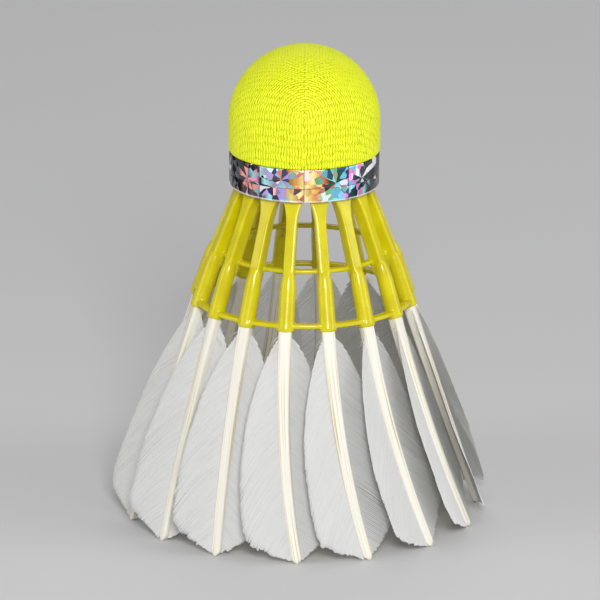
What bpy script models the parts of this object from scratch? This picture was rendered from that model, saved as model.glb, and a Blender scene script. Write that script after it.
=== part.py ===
"""Hybrid badminton shuttlecock: cork head, cover, foil band, moulded frame and sixteen cut feathers.

It stands on its feather tips at z = 0 with the head up, centred on the Z axis. Angles about Z start at
the front, -Y, and grow towards +X. Lengths are in metres.
"""

from math import atan, cos, pi, radians, sin

import bmesh
import bpy
from mathutils import Matrix, Vector

MM = 0.001

# Driving dimensions
TOTAL_HEIGHT = 84.7 * MM
HEAD_RADIUS = 13.3 * MM
BAND_HEIGHT = 5.9 * MM
BAND_BOTTOM = 59.9 * MM
SOCKET_END_RADIUS = 18.95 * MM  # circle through the socket mouths
SOCKET_END_HEIGHT = 38.1 * MM
TIP_RADIUS = 31.4 * MM  # circle through the shaft tips
FEATHERS = 16
FIRST_ANGLE = radians(1.9 - 3.5 * 22.5)
# Sideways lean of each tip past its socket, in degrees, one for each feather in turn
LEANS = (3.5, 3.5, 3.5, 8.0, 8.5, 10.0, 10.5, 12.0, 11.5, 10.5, 9.5, 8.5, 7.5, 6.5, 5.5, 4.5)
LEAN_POWER = 1.8  # the shaft leaves its socket straight and sweeps sideways further down

# Fits
GAP = 0.3 * MM
QUILL_GAP = 0.12 * MM
VANE_GAP = 0.15 * MM
OVERSHOOT = 1.0 * MM  # how far a cutter, or a shaft before its cut, runs past the end

# Head
COVER_THICKNESS = 0.6 * MM
COVER_ROLL = (0.3 * MM, 0.4 * MM)  # how far in, and over what height, the cover's lower edge turns
COVER_SHOULDER = 2 * COVER_THICKNESS  # height over which the lining steps in to the band
BAND_THICKNESS = 0.3 * MM
BAND_INSET = 0.1 * MM  # the band's face stands this far inside the cover's
BAND_TOP = BAND_BOTTOM + BAND_HEIGHT
DOME_CENTRE = TOTAL_HEIGHT - HEAD_RADIUS
SKIRT_RADIUS = HEAD_RADIUS - BAND_INSET - BAND_THICKNESS - GAP  # the cover's rim, under the band

# Frame
HUB_THICKNESS = 1.1 * MM
HUB_BOTTOM = BAND_BOTTOM + 0.3 * MM
HUB_TOP = HUB_BOTTOM + HUB_THICKNESS
HUB_RADIUS = 12.3 * MM
PEG_RADIUS = 5.0 * MM
PEG_BORE_RADIUS = 2.6 * MM
PEG_LENGTH = 5.5 * MM
PEG_CHAMFER = 0.4 * MM
BLADE_TOP_RADIUS = 11.7 * MM  # outer face at the hub's underside
BLADE_SLOPE = 0.395  # outward run for each unit of drop, above the sockets
BLADE_BEND = 46.9 * MM  # where the outer face goes into the socket
BLADE_DEPTH = 2.7 * MM
BLADE_WIDTH = 2.0 * MM
BLADE_FLARE = 2.3 * MM  # extra width where neighbours nearly meet in a pointed arch
FLARE_HEIGHT = 6.0 * MM
FLARE_LEVELS = (0.4 * MM, -0.5 * MM, -1.6 * MM, -3.2 * MM)  # sections of the flare, from the hub's underside
BLADE_ENTRY = 1.2 * MM  # how far below the bend a blade meets its socket's slope
BLADE_FOOT = 45.0 * MM  # where it ends, inside the socket
BLADE_FOOT_DEPTH = 0.9 * MM
SOCKET_LENGTH = 9.6 * MM
SOCKET_RADIUS = 1.48 * MM
SOCKET_TOP_RADIUS = 1.38 * MM
SOCKET_NOSE = 1.6 * MM
NOSE_ROUNDING = (0.6, 0.2)  # shares of the socket's top radius and of the nose's height
SOCKET_BACKING = 0.2 * MM  # from a socket's axis in to the face of the blade behind it
MID_RING_HEIGHT = 47.75 * MM
MID_RING_RADII = (13.4 * MM, 14.8 * MM)
LOW_RING_HEIGHT = 39.25 * MM
LOW_RING_RADII = (17.9 * MM, 19.6 * MM)
RING_THICKNESS = 0.8 * MM

# Feathers
SHAFT_ROOT_RADIUS = 1.12 * MM
SHAFT_TIP_RADIUS = 0.78 * MM
QUILL_LENGTH = 6.5 * MM  # inside the socket
QUILL_END_RADIUS = 0.85 * MM
VANE_START = 1.0 * MM  # below the socket mouth
VANE_END = 0.4 * MM  # above the tips
VANE_LEAST = 0.5 * MM  # width of a web at both ends, so that no edge comes to a point
VANE_WIDEST = 0.86  # share of the vane's length at which it gets its full width
CORNER_SHARPNESS = 8  # of the corners between the straight edges and the cut ends
# By side, 1 for the left web and -1 for the right
VANE_WIDTHS = {1: 8.2 * MM, -1: 8.2 * MM}
VANE_OPENING = {1: 0.85, -1: 0.65}  # power of the parabola by which a web opens
CUT_SLOPES = {1: 0.5, -1: 0.65}  # rise of the cut end for each unit away from the shaft
VANE_THICKNESS = 0.36 * MM
# Tilt of each feather's webs in turn, in degrees. A left web stands out over its neighbour's right web,
# and no two feathers are glued in quite alike.
VANE_TILTS = {
    1: (31.0, 28.5, 21.0, 20.0, 20.5, 25.0, 25.0, 22.0, 22.5, 21.5, 22.0, 21.5, 21.0, 21.5, 22.0, 25.0),
    -1: (22.0, 17.0, 11.0, 11.0, 10.5, 11.0, 9.5, 13.0, 13.5, 13.5, 13.0, 13.0, 12.5, 12.0, 12.0, 14.0),
}
VANE_CAMBER = 0.9 * MM

# Smoothness
ROUND_STEPS = 32
SOCKET_STEPS = 12
DOME_STEPS = 8
LINING_STEPS = 6
SHAFT_POINTS = 8
VANE_ROWS = 11
VANE_COLUMNS = 2
SHORT = 0.1 * MM  # step along a shaft that gives its direction
WELD = 0.01 * MM

SHAFT_SLOPE = (TIP_RADIUS - SOCKET_END_RADIUS) / SOCKET_END_HEIGHT
SOCKET_LEAN = atan(SHAFT_SLOPE)
PITCH = 2 * pi / FEATHERS
VANE_LENGTH = SOCKET_END_HEIGHT - VANE_START - VANE_END


def clear_scene():
    for obj in list(bpy.data.objects):
        bpy.data.objects.remove(obj, do_unlink=True)
    for collection in list(bpy.data.collections):
        bpy.data.collections.remove(collection)


def new_collection(name, shown=True):
    collection = bpy.data.collections.new(name)
    bpy.context.scene.collection.children.link(collection)
    collection.hide_render = not shown
    return collection


def material(name, colour, roughness, metallic=0.0):
    made = bpy.data.materials.new(name)
    made.use_nodes = True
    shader = made.node_tree.nodes["Principled BSDF"]
    shader.inputs["Base Color"].default_value = (*colour, 1.0)
    shader.inputs["Roughness"].default_value = roughness
    shader.inputs["Metallic"].default_value = metallic
    return made


def new_object(name, mesh, collection, finish=None):
    obj = bpy.data.objects.new(name, mesh)
    collection.objects.link(obj)
    if finish:
        mesh.materials.append(finish)
    return obj


def hide_helper(obj):
    obj.hide_render = True
    obj.display_type = "WIRE"


def mesh_of(points, faces, name):
    """A mesh from points and faces, with all faces turned outward."""
    shape = bmesh.new()
    corners = [shape.verts.new(point) for point in points]
    for face in faces:
        shape.faces.new([corners[index] for index in face])
    bmesh.ops.recalc_face_normals(shape, faces=shape.faces)
    mesh = bpy.data.meshes.new(name)
    shape.to_mesh(mesh)
    shape.free()
    return mesh


def turned(name, profile, collection, finish=None, closed=False, steps=ROUND_STEPS):
    """A Screw of (radius, height) points, which run down the outer side."""
    count = len(profile)
    edges = [(index, index + 1) for index in range(count - 1)]
    if closed:
        edges.append((count - 1, 0))
    mesh = bpy.data.meshes.new(name)
    mesh.from_pydata([(radius, 0.0, height) for radius, height in profile], edges, [])
    obj = new_object(name, mesh, collection, finish)
    screw = obj.modifiers.new("Screw", "SCREW")
    screw.steps = steps
    screw.render_steps = steps
    screw.use_merge_vertices = True
    screw.merge_threshold = WELD
    screw.use_smooth_shade = True
    return obj


def applied(obj):
    """The object's evaluated mesh as its own mesh, so that copies can share it."""
    bpy.context.view_layer.update()
    graph = bpy.context.evaluated_depsgraph_get()
    return bpy.data.meshes.new_from_object(obj.evaluated_get(graph))


def around(angle, radius, height):
    return Vector((radius * sin(angle), -radius * cos(angle), height))


def spin(angle):
    """Turns what is built at the front, -Y, to the given angle."""
    return Matrix.Rotation(angle, 4, "Z")


def dome(radius, count):
    """(radius, height) points down the head's dome, from one step below its top to its widest."""
    turns = [pi / 2 * (count - step) / count for step in range(1, count + 1)]
    return [(radius * cos(turn), DOME_CENTRE + radius * sin(turn)) for turn in turns]


# Head


def build_cover(collection, finish):
    outer = [(0.0, TOTAL_HEIGHT)]
    outer += dome(HEAD_RADIUS, DOME_STEPS)
    step = BAND_TOP + GAP
    outer += [
        (HEAD_RADIUS, step + COVER_ROLL[1]),
        (HEAD_RADIUS - COVER_ROLL[0], step),
        (SKIRT_RADIUS, step),
        (SKIRT_RADIUS, HUB_TOP + GAP),
    ]
    lining = HEAD_RADIUS - COVER_THICKNESS
    narrow = SKIRT_RADIUS - COVER_THICKNESS
    inner = [(narrow, HUB_TOP + GAP), (narrow, step + COVER_THICKNESS), (lining, step + COVER_SHOULDER)]
    inner += reversed(dome(lining, LINING_STEPS))
    inner += [(0.0, TOTAL_HEIGHT - COVER_THICKNESS)]
    return turned("head_cover", outer + inner, collection, finish)


def build_core(collection, finish):
    radius = HEAD_RADIUS - COVER_THICKNESS - GAP
    narrow = SKIRT_RADIUS - COVER_THICKNESS - GAP
    bottom = HUB_TOP + GAP
    bore = PEG_RADIUS + GAP
    shoulder = BAND_TOP + GAP + COVER_THICKNESS
    profile = [(0.0, DOME_CENTRE + radius)]
    profile += dome(radius, LINING_STEPS)
    profile += [
        (radius, shoulder + COVER_SHOULDER),
        (narrow, shoulder),
        (narrow, bottom),
        (bore, bottom),
        (bore, HUB_TOP + PEG_LENGTH + GAP),
        (0.0, HUB_TOP + PEG_LENGTH + GAP),
    ]
    return turned("head_core", profile, collection, finish)


def build_band(collection, finish):
    outer = HEAD_RADIUS - BAND_INSET
    inner = outer - BAND_THICKNESS
    profile = [(outer, BAND_TOP), (outer, BAND_BOTTOM), (inner, BAND_BOTTOM), (inner, BAND_TOP)]
    return turned("foil_band", profile, collection, finish, closed=True)


# Frame


def blade_outer(height):
    """Radius of a blade's outer face. Below BLADE_BEND it runs inside the socket."""
    if height >= BLADE_BEND:
        return BLADE_TOP_RADIUS + BLADE_SLOPE * (HUB_BOTTOM - height)
    return SOCKET_END_RADIUS - SHAFT_SLOPE * (height - SOCKET_END_HEIGHT) - SOCKET_BACKING


def blade_inner(height):
    """Radius of a blade's inner face. Below BLADE_BEND it runs straight into the socket."""
    if height >= BLADE_BEND:
        return blade_outer(height) - BLADE_DEPTH
    share = (BLADE_BEND - height) / (BLADE_BEND - BLADE_FOOT)
    start = blade_outer(BLADE_BEND) - BLADE_DEPTH
    return start + share * (blade_outer(BLADE_FOOT) - BLADE_FOOT_DEPTH - start)


def blade_width(height):
    """Width of a blade at its outer face, with the pointed-arch flare under the hub."""
    share = 1.0 - max(0.0, HUB_BOTTOM - height) / FLARE_HEIGHT
    return BLADE_WIDTH + BLADE_FLARE * max(0.0, share) ** 3


def build_blade(collection):
    """A loft of level sections from inside the hub down into the socket."""
    heights = [HUB_BOTTOM + level for level in FLARE_LEVELS]
    heights += [HUB_BOTTOM - FLARE_HEIGHT, BLADE_BEND, BLADE_BEND - BLADE_ENTRY, BLADE_FOOT]
    points = []
    for height in heights:
        outer = blade_outer(height)
        inner = blade_inner(height)
        side = blade_width(height) / 2
        points += [(-side, -outer, height), (side, -outer, height)]
        side *= inner / outer
        points += [(-side, -inner, height), (side, -inner, height)]
    faces = [(0, 1, 3, 2)]
    for low in range(4, len(points), 4):
        top = low - 4
        faces += [
            (top, top + 1, low + 1, low),
            (top + 1, top + 3, low + 3, low + 1),
            (top + 3, top + 2, low + 2, low + 3),
            (top + 2, top, low, low + 2),
        ]
    end = len(points) - 4
    faces.append((end, end + 1, end + 3, end + 2))
    return new_object("blade", mesh_of(points, faces, "blade"), collection)


def socket_place():
    """Puts a shape turned about Z, its mouth at its origin, onto the front socket's axis."""
    lean = Matrix.Rotation(-SOCKET_LEAN, 4, "X")
    return Matrix.Translation(around(0.0, SOCKET_END_RADIUS, SOCKET_END_HEIGHT)) @ lean


def build_socket(collection):
    profile = [
        (0.0, SOCKET_LENGTH),
        (NOSE_ROUNDING[0] * SOCKET_TOP_RADIUS, SOCKET_LENGTH - NOSE_ROUNDING[1] * SOCKET_NOSE),
        (SOCKET_TOP_RADIUS, SOCKET_LENGTH - SOCKET_NOSE),
        (SOCKET_RADIUS, 0.0),
        (0.0, 0.0),
    ]
    return turned("socket", profile, collection, steps=SOCKET_STEPS)


def build_bore(collection):
    """The blind hole that takes a quill, cut from below the socket's mouth."""
    profile = [
        (0.0, QUILL_LENGTH + GAP),
        (QUILL_END_RADIUS + QUILL_GAP, QUILL_LENGTH + GAP),
        (SHAFT_ROOT_RADIUS + QUILL_GAP, 0.0),
        (SHAFT_ROOT_RADIUS + QUILL_GAP, -OVERSHOOT),
        (0.0, -OVERSHOOT),
    ]
    return turned("bore", profile, collection, steps=SOCKET_STEPS)


def build_ring(name, radii, height, collection):
    inner, outer = radii
    top = height + RING_THICKNESS / 2
    bottom = height - RING_THICKNESS / 2
    profile = [(outer, top), (outer, bottom), (inner, bottom), (inner, top)]
    return turned(name, profile, collection, closed=True)


def repeat_around(pattern, place):
    """Turns a helper into one mesh that holds a copy at each feather's angle."""
    mesh = applied(pattern)
    pattern.modifiers.clear()
    shape = bmesh.new()
    for index in range(FEATHERS):
        before = len(shape.verts)
        shape.from_mesh(mesh)
        added = shape.verts[before:]
        bmesh.ops.transform(shape, matrix=spin(FIRST_ANGLE + PITCH * index) @ place, verts=added)
    shape.to_mesh(pattern.data)
    shape.free()


def build_frame(collection, helpers, finish):
    hub = [
        (PEG_RADIUS - PEG_CHAMFER, HUB_TOP + PEG_LENGTH),
        (PEG_RADIUS, HUB_TOP + PEG_LENGTH - PEG_CHAMFER),
        (PEG_RADIUS, HUB_TOP),
        (HUB_RADIUS, HUB_TOP),
        (HUB_RADIUS, HUB_BOTTOM),
        (PEG_BORE_RADIUS, HUB_BOTTOM),
        (PEG_BORE_RADIUS, HUB_TOP + PEG_LENGTH),
    ]
    frame = turned("frame", hub, collection, finish, closed=True)
    blades = build_blade(helpers)
    sockets = build_socket(helpers)
    bores = build_bore(helpers)
    repeat_around(blades, Matrix.Identity(4))
    repeat_around(sockets, socket_place())
    repeat_around(bores, socket_place())
    rings = [
        build_ring("middle_ring", MID_RING_RADII, MID_RING_HEIGHT, helpers),
        build_ring("lower_ring", LOW_RING_RADII, LOW_RING_HEIGHT, helpers),
    ]
    for helper in (blades, *rings, sockets, bores):
        hide_helper(helper)
        boolean = frame.modifiers.new(helper.name, "BOOLEAN")
        boolean.operation = "DIFFERENCE" if helper is bores else "UNION"
        boolean.object = helper
        boolean.solver = "EXACT"
    return frame


# Feathers


def shaft_radius(drop):
    """Radius of a shaft at a drop below its socket's mouth. The quill narrows again inside the socket."""
    if drop < 0.0:
        return SHAFT_ROOT_RADIUS + (SHAFT_ROOT_RADIUS - QUILL_END_RADIUS) * drop / QUILL_LENGTH
    return SHAFT_ROOT_RADIUS + (SHAFT_TIP_RADIUS - SHAFT_ROOT_RADIUS) * drop / SOCKET_END_HEIGHT


def shaft_point(index, drop):
    """The shaft's axis at a drop below the socket's mouth."""
    share = max(0.0, drop) / SOCKET_END_HEIGHT
    angle = FIRST_ANGLE + PITCH * index + radians(LEANS[index]) * share**LEAN_POWER
    return around(angle, SOCKET_END_RADIUS + SHAFT_SLOPE * drop, SOCKET_END_HEIGHT - drop)


def shaft_frame(index, drop):
    """Point, left and outward directions across the shaft, seen from outside the cone."""
    point = shaft_point(index, drop)
    along = (shaft_point(index, drop + SHORT) - shaft_point(index, drop - SHORT)).normalized()
    radial = Vector((point.x, point.y, 0.0)).normalized()
    outward = (radial - along * radial.dot(along)).normalized()
    left = along.cross(outward).normalized()
    return point, left, outward


def build_shaft(index, collection, finish):
    """A tapered bevelled curve that ends level at z = 0."""
    name = f"feather_{index + 1:02d}_shaft"
    curve = bpy.data.curves.new(name, "CURVE")
    curve.dimensions = "3D"
    curve.bevel_depth = SHAFT_ROOT_RADIUS
    curve.bevel_resolution = 2
    curve.use_fill_caps = True
    spline = curve.splines.new("POLY")
    span = SOCKET_END_HEIGHT + OVERSHOOT
    drops = [-QUILL_LENGTH * cos(SOCKET_LEAN), 0.0]
    drops += [span * (step + 1) / (SHAFT_POINTS - 1) for step in range(SHAFT_POINTS - 1)]
    spline.points.add(len(drops) - 1)
    for point, drop in zip(spline.points, drops):
        point.co = (*shaft_point(index, drop), 1.0)
        point.radius = shaft_radius(drop) / SHAFT_ROOT_RADIUS
    guide = bpy.data.objects.new(name + "_path", curve)
    collection.objects.link(guide)
    mesh = applied(guide)
    bpy.data.objects.remove(guide, do_unlink=True)
    cut_level(mesh)
    mesh.name = name
    mesh.shade_smooth()
    return new_object(name, mesh, collection, finish)


def cut_level(mesh):
    """Welds a tube's caps, cuts it off at z = 0 and closes the cut with one flat face."""
    shape = bmesh.new()
    shape.from_mesh(mesh)
    bmesh.ops.remove_doubles(shape, verts=shape.verts, dist=WELD)
    geometry = shape.verts[:] + shape.edges[:] + shape.faces[:]
    floor = bmesh.ops.bisect_plane(
        shape, geom=geometry, plane_co=(0.0, 0.0, 0.0), plane_no=(0.0, 0.0, -1.0), clear_outer=True
    )
    rim = [item for item in floor["geom_cut"] if isinstance(item, bmesh.types.BMEdge)]
    bmesh.ops.edgeloop_fill(shape, edges=rim)
    bmesh.ops.recalc_face_normals(shape, faces=shape.faces)
    shape.to_mesh(mesh)
    shape.free()


def vane_width(side, share):
    """Width of a web: it opens down the shaft to its full width, and a slanting cut ends it at the tip."""
    opened = min(1.0, share / VANE_WIDEST)
    full = VANE_WIDTHS[side] * (1.0 - (1.0 - opened) ** 2) ** VANE_OPENING[side]
    cut = VANE_LENGTH * (1.0 - share) / CUT_SLOPES[side]
    if min(full, cut) < VANE_LEAST:
        return VANE_LEAST
    return (full**-CORNER_SHARPNESS + cut**-CORNER_SHARPNESS) ** (-1 / CORNER_SHARPNESS)


def vane_point(index, side, drop, across):
    """A point of a web at a distance from the shaft's axis."""
    point, left, outward = shaft_frame(index, drop)
    tilt = radians(VANE_TILTS[side][index])
    rise = sin(tilt) * side * across - VANE_CAMBER * (across / VANE_WIDTHS[side]) ** 2
    return point + left * side * across * cos(tilt) + outward * rise


def build_vane(index, side, collection, finish):
    """An open sheet beside the shaft with Solidify."""
    name = f"feather_{index + 1:02d}_vane_{'left' if side > 0 else 'right'}"
    points = []
    for row in range(VANE_ROWS + 1):
        # Rows crowd towards both ends, where the outline turns fastest.
        share = (1.0 - cos(pi * row / VANE_ROWS)) / 2
        drop = VANE_START + VANE_LENGTH * share
        root = shaft_radius(drop) + VANE_GAP
        reach = root + vane_width(side, share)
        for column in range(VANE_COLUMNS + 1):
            across = root + (reach - root) * column / VANE_COLUMNS
            points.append(vane_point(index, side, drop, across))
    stride = VANE_COLUMNS + 1
    faces = []
    for row in range(VANE_ROWS):
        for column in range(VANE_COLUMNS):
            corner = row * stride + column
            faces.append((corner, corner + 1, corner + stride + 1, corner + stride))
    obj = new_object(name, mesh_of(points, faces, name), collection, finish)
    thicken = obj.modifiers.new("Solidify", "SOLIDIFY")
    thicken.thickness = VANE_THICKNESS
    thicken.offset = 0.0
    obj.data.shade_smooth()
    return obj


def main():
    clear_scene()
    shuttlecock = new_collection("badminton_shuttlecock")
    helpers = new_collection("cutters", shown=False)
    build_cover(shuttlecock, material("cover_fabric", (0.62, 0.76, 0.01), 0.6))
    build_core(shuttlecock, material("cork", (0.52, 0.33, 0.17), 0.85))
    build_band(shuttlecock, material("holographic_foil", (0.72, 0.74, 0.8), 0.15, 1.0))
    build_frame(shuttlecock, helpers, material("yellow_nylon", (0.75, 0.66, 0.01), 0.3))
    keratin = material("feather_shaft", (0.86, 0.82, 0.68), 0.4)
    barbs = material("feather_vane", (0.62, 0.62, 0.64), 0.75)
    for index in range(FEATHERS):
        build_shaft(index, shuttlecock, keratin)
        build_vane(index, 1, shuttlecock, barbs)
        build_vane(index, -1, shuttlecock, barbs)


main()
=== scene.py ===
"""Looks of a hybrid badminton shuttlecock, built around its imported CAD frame.

It stands on its feather tips at z = 0 with the head up. Angles about Z start at the front, -Y, and grow
towards +X. Shapes are worked out in millimetres and scaled to metres when they become meshes.
"""

from math import atan, cos, pi, radians, sin

import bmesh
import bpy
import numpy as np
from mathutils import Matrix, Vector


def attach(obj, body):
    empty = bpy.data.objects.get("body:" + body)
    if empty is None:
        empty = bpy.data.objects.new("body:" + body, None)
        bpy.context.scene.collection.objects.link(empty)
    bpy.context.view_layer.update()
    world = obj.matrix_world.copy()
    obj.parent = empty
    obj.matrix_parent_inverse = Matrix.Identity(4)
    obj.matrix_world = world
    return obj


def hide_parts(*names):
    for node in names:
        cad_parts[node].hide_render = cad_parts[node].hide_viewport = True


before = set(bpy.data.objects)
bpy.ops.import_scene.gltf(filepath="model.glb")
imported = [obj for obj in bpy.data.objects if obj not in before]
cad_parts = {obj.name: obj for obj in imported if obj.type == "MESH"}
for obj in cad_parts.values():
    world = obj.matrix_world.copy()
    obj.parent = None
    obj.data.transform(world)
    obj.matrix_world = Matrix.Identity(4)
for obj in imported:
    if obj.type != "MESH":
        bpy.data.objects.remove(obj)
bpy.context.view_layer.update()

MM = 0.001
IN_MILLIMETRES = (1000, 1000, 1000)
SEED = 7

# Head
TOTAL_HEIGHT = 84.7
HEAD_RADIUS = 13.3
BAND_BOTTOM = 59.9
BAND_HEIGHT = 5.9
BAND_TOP = BAND_BOTTOM + BAND_HEIGHT
DOME_CENTRE = TOTAL_HEIGHT - HEAD_RADIUS
COVER_THICKNESS = 0.6
GRAIN_CENTRE = DOME_CENTRE + 4.0  # the grain runs upright below this and arches over above it
COVER_EDGE = 0.45  # radius of the cover's rolled lower edge
COVER_GAP = 0.02  # between the cover's edge and the band
POLE_RADIUS = 0.02  # of the ring of points at a dome's top
BAND_RADIUS = HEAD_RADIUS - 0.1
BAND_THICKNESS = 0.3
SKIRT_RADIUS = HEAD_RADIUS - 0.7  # the cover under the band

# The cover's grain: rows of dashes in millimetres
DASH_LENGTH = 1.4
DASH_PITCH = 0.5
DASH_GAP = 0.1
DASH_RISE = 0.13
GRAIN_DRIFT = (1.2, 0.9, 0.0)  # how far noise moves a dash along and across its row

# The foil's pattern
FOIL_TILES = 10
FOIL_SECTORS = 11  # shards in a fan
FOIL_SEAM = 0.42  # height of the level seam, as a share of the band's
FOIL_HUB_RISE = 1.2  # range of the hubs' heights, in millimetres
FOIL_JITTER = 0.11  # how far a shard's colour may be from its place in the rainbow
FOIL_RIM = 0.3  # height of the pale lower edge, in millimetres
FOIL_GLINTS_ABOVE = 0.93
FOIL_COLOURS = (  # over half of the way round, then again over the other half: the foil's rainbow, darkened at the sides and brightened at the front and back as painted reflection
    (0.0, (0.05, 0.055, 0.06)),
    (0.19, (0.06, 0.065, 0.07)),
    (0.215, (0.95, 0.40, 0.30)),
    (0.265, (0.85, 0.35, 0.55)),
    (0.285, (0.10, 0.10, 0.12)),
    (0.31, (0.40, 0.85, 0.90)),
    (0.345, (0.40, 0.38, 0.46)),
    (0.385, (0.55, 0.35, 0.95)),
    (0.405, (0.25, 0.85, 0.70)),
    (0.43, (0.95, 0.30, 0.38)),
    (0.46, (1.0, 0.45, 0.10)),
    (0.50, (1.0, 0.88, 0.40)),
    (0.54, (1.0, 0.45, 0.08)),
    (0.575, (0.92, 0.25, 0.28)),
    (0.60, (0.25, 0.65, 0.25)),
    (0.64, (0.25, 0.80, 0.90)),
    (0.70, (0.25, 0.58, 1.0)),
    (0.73, (1.0, 0.20, 0.55)),
    (0.76, (0.35, 0.90, 0.85)),
    (0.80, (0.07, 0.075, 0.08)),
    (1.0, (0.05, 0.055, 0.06)),
)
FOIL_SHARD_REFLECTIONS = (  # painted reflection: how bright a shard's mirror looks, by chance
    (0.0, (0.07, 0.07, 0.09)),
    (0.3, (0.16, 0.16, 0.19)),
    (0.34, (0.65, 0.65, 0.7)),
    (0.8, (1.0, 1.0, 1.0)),
)
FOIL_FRONT_HIGHLIGHT = (  # painted highlight on the front and back of the band: least brightness, by the distance from the rainbow's middle
    (0.0, (0.95, 0.95, 0.95)),
    (0.045, (0.6, 0.6, 0.6)),
    (0.08, (0.0, 0.0, 0.0)),
)

# Frame
HUB_BOTTOM = BAND_BOTTOM + 0.3
HUB_THICKNESS = 1.1
HUB_RADIUS = 12.3
PEG_RADIUS = 5.0
PEG_BORE_RADIUS = 2.6
PEG_LENGTH = 5.5
PEG_CHAMFER = 0.4
BLADE_TOP_RADIUS = 11.7
BLADE_SLOPE = 0.395
BLADE_BEND = 46.0
BLADE_DEPTH = 2.7
BLADE_FOOT = 45.0  # where a blade ends, inside its socket
BLADE_FOOT_DEPTH = 0.9
BLADE_WIDTH = 2.0
BLADE_FLARE = 2.3
FLARE_HEIGHT = 6.0
SOCKET_END_RADIUS = 18.95
SOCKET_END_HEIGHT = 38.1
SOCKET_LENGTH = 11.0
SOCKET_RADIUS = 1.5
SOCKET_TOP_RADIUS = 1.42
SOCKET_NOSE = 5.0  # length of the rounded upper end
SOCKET_FULLNESS = 2.6  # exponent of its profile: 2 is an ellipse
SOCKET_BACKING = 0.2
MID_RING_HEIGHT = 47.75
MID_RING_RADII = (13.4, 14.8)
LOW_RING_HEIGHT = 39.25
LOW_RING_RADII = (17.9, 19.6)
RING_THICKNESS = 0.8
RING_ROUNDING = 0.25
RING_STEPS = 192
EDGE_ROUNDING = 0.32  # of the blades
VOXEL = 0.14

# Feathers
FEATHERS = 16
FIRST_ANGLE = radians(1.9 - 3.5 * 22.5)
PITCH = 2 * pi / FEATHERS
LEANS = (3.5, 3.5, 3.5, 8.0, 8.5, 10.0, 10.5, 12.0, 11.5, 10.5, 9.5, 8.5, 7.5, 6.5, 5.5, 4.5)
LEAN_POWER = 1.8
TIP_RADIUS = 31.4
SHAFT_WIDTHS = (1.18, 0.84)  # half-widths at the socket's mouth and at the tip
SHAFT_DEPTHS = (1.05, 0.62)
TIP_RISE = 0.75  # a tip is cut to a shallow point, which rises this much to each side
SHAFT_ENTRY = 1.2  # how far the shaft runs up into its socket
SHAFT_SQUARENESS = 3.4  # exponent of its section: 2 is an ellipse
GROOVES = 5
GROOVE_DEPTH = 0.07
GROOVE_WIDTH = 0.09  # as a share of the half-width
GROOVE_SWAY = 0.05
VANE_START = 1.0
VANE_END = 0.1
VANE_WIDTH = 8.2
VANE_WIDEST = 0.86  # share of the vane's length at which it gets its full width
VANE_OPENING = {1: 0.85, -1: 0.65}  # power of the parabola by which a web opens
CORNER_SHARPNESS = 8  # how tightly a web's side turns into its cut end
CUT_SLOPES = {1: 0.5, -1: 0.65}  # rise of the cut end for each unit away from the shaft, left and right
VANE_TILTS = {
    1: (31.0, 28.5, 21.0, 20.0, 20.5, 25.0, 25.0, 22.0, 22.5, 21.5, 22.0, 21.5, 21.0, 21.5, 22.0, 25.0),
    -1: (22.0, 17.0, 11.0, 11.0, 10.5, 11.0, 9.5, 13.0, 13.5, 13.5, 13.0, 13.0, 12.5, 12.0, 12.0, 14.0),
}
VANE_CAMBER = 0.9
WEB_LOWEST = 0.05
TIP_CLEARANCE = 0.25  # least height of a barb's path above the shaft's tip
BARBS = {1: 124, -1: 88}  # in a left and in a right web
BARB_STEPS = 9
PATH_SAMPLES = 240  # along a barb, to find where the outline ends it
BARB_OVERLAP = {1: 0.68, -1: 0.58}  # half-width of a barb for each unit of spacing
BARB_RELIEF = {1: 0.35, -1: 2.6}  # a right web shows its rough inner face
BARB_ROOT_ANGLE = radians(50.0)  # between a barb and the way down the shaft, at its root
BARB_END_ANGLE = radians(33.0)

# Stage: places in metres, lens, sensor and floor in millimetres
CAMERA_LENS = 347.3
CAMERA_SENSOR = 36.0
CAMERA_PLACE = (0.0, -0.9772, 0.3436)
CAMERA_TARGET = (-0.0006, 0.0, 0.03814)
CAMERA_ROLL = radians(0.315)
LIT_POINT = (0.0, 0.0, 0.045)
FLOOR_SIZE = 6000.0
LIGHTS = (  # name, place, size, watts
    ("key", (0.08, -0.9, 0.55), (0.3, 0.3), 6.6),
    ("left_fill", (-0.9, -0.3, 0.4), (0.5, 0.7), 2.0),
    ("right_fill", (0.9, -0.2, 0.4), (0.5, 0.7), 2.6),
    ("back", (0.0, 0.9, 0.7), (0.8, 0.4), 1.5),
)

SHAFT_SLOPE = (TIP_RADIUS - SOCKET_END_RADIUS) / SOCKET_END_HEIGHT
SOCKET_LEAN = atan(SHAFT_SLOPE)
VANE_LENGTH = SOCKET_END_HEIGHT - VANE_START - VANE_END


# Meshes


def mesh_object(name, points, faces, finish, smooth=True, uv=None):
    """An object from points in millimetres and quads. uv holds one pair for each point."""
    mesh = bpy.data.meshes.new(name)
    points = np.asarray(points, float).reshape(-1, 3)
    faces = np.asarray(faces, np.int32).reshape(-1, 4)
    mesh.vertices.add(len(points))
    mesh.vertices.foreach_set("co", (points * MM).astype(np.float32).ravel())
    mesh.loops.add(faces.size)
    mesh.loops.foreach_set("vertex_index", faces.ravel())
    mesh.polygons.add(len(faces))
    mesh.polygons.foreach_set("loop_start", np.arange(0, faces.size, 4, dtype=np.int32))
    mesh.polygons.foreach_set("use_smooth", np.full(len(faces), smooth))
    mesh.update(calc_edges=True)
    if uv is not None:
        layer = mesh.uv_layers.new(name="UVMap")
        layer.data.foreach_set("uv", np.asarray(uv, np.float32).reshape(-1, 2)[faces.ravel()].ravel())
    mesh.materials.append(finish)
    obj = bpy.data.objects.new(name, mesh)
    bpy.context.scene.collection.objects.link(obj)
    return obj


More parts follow.
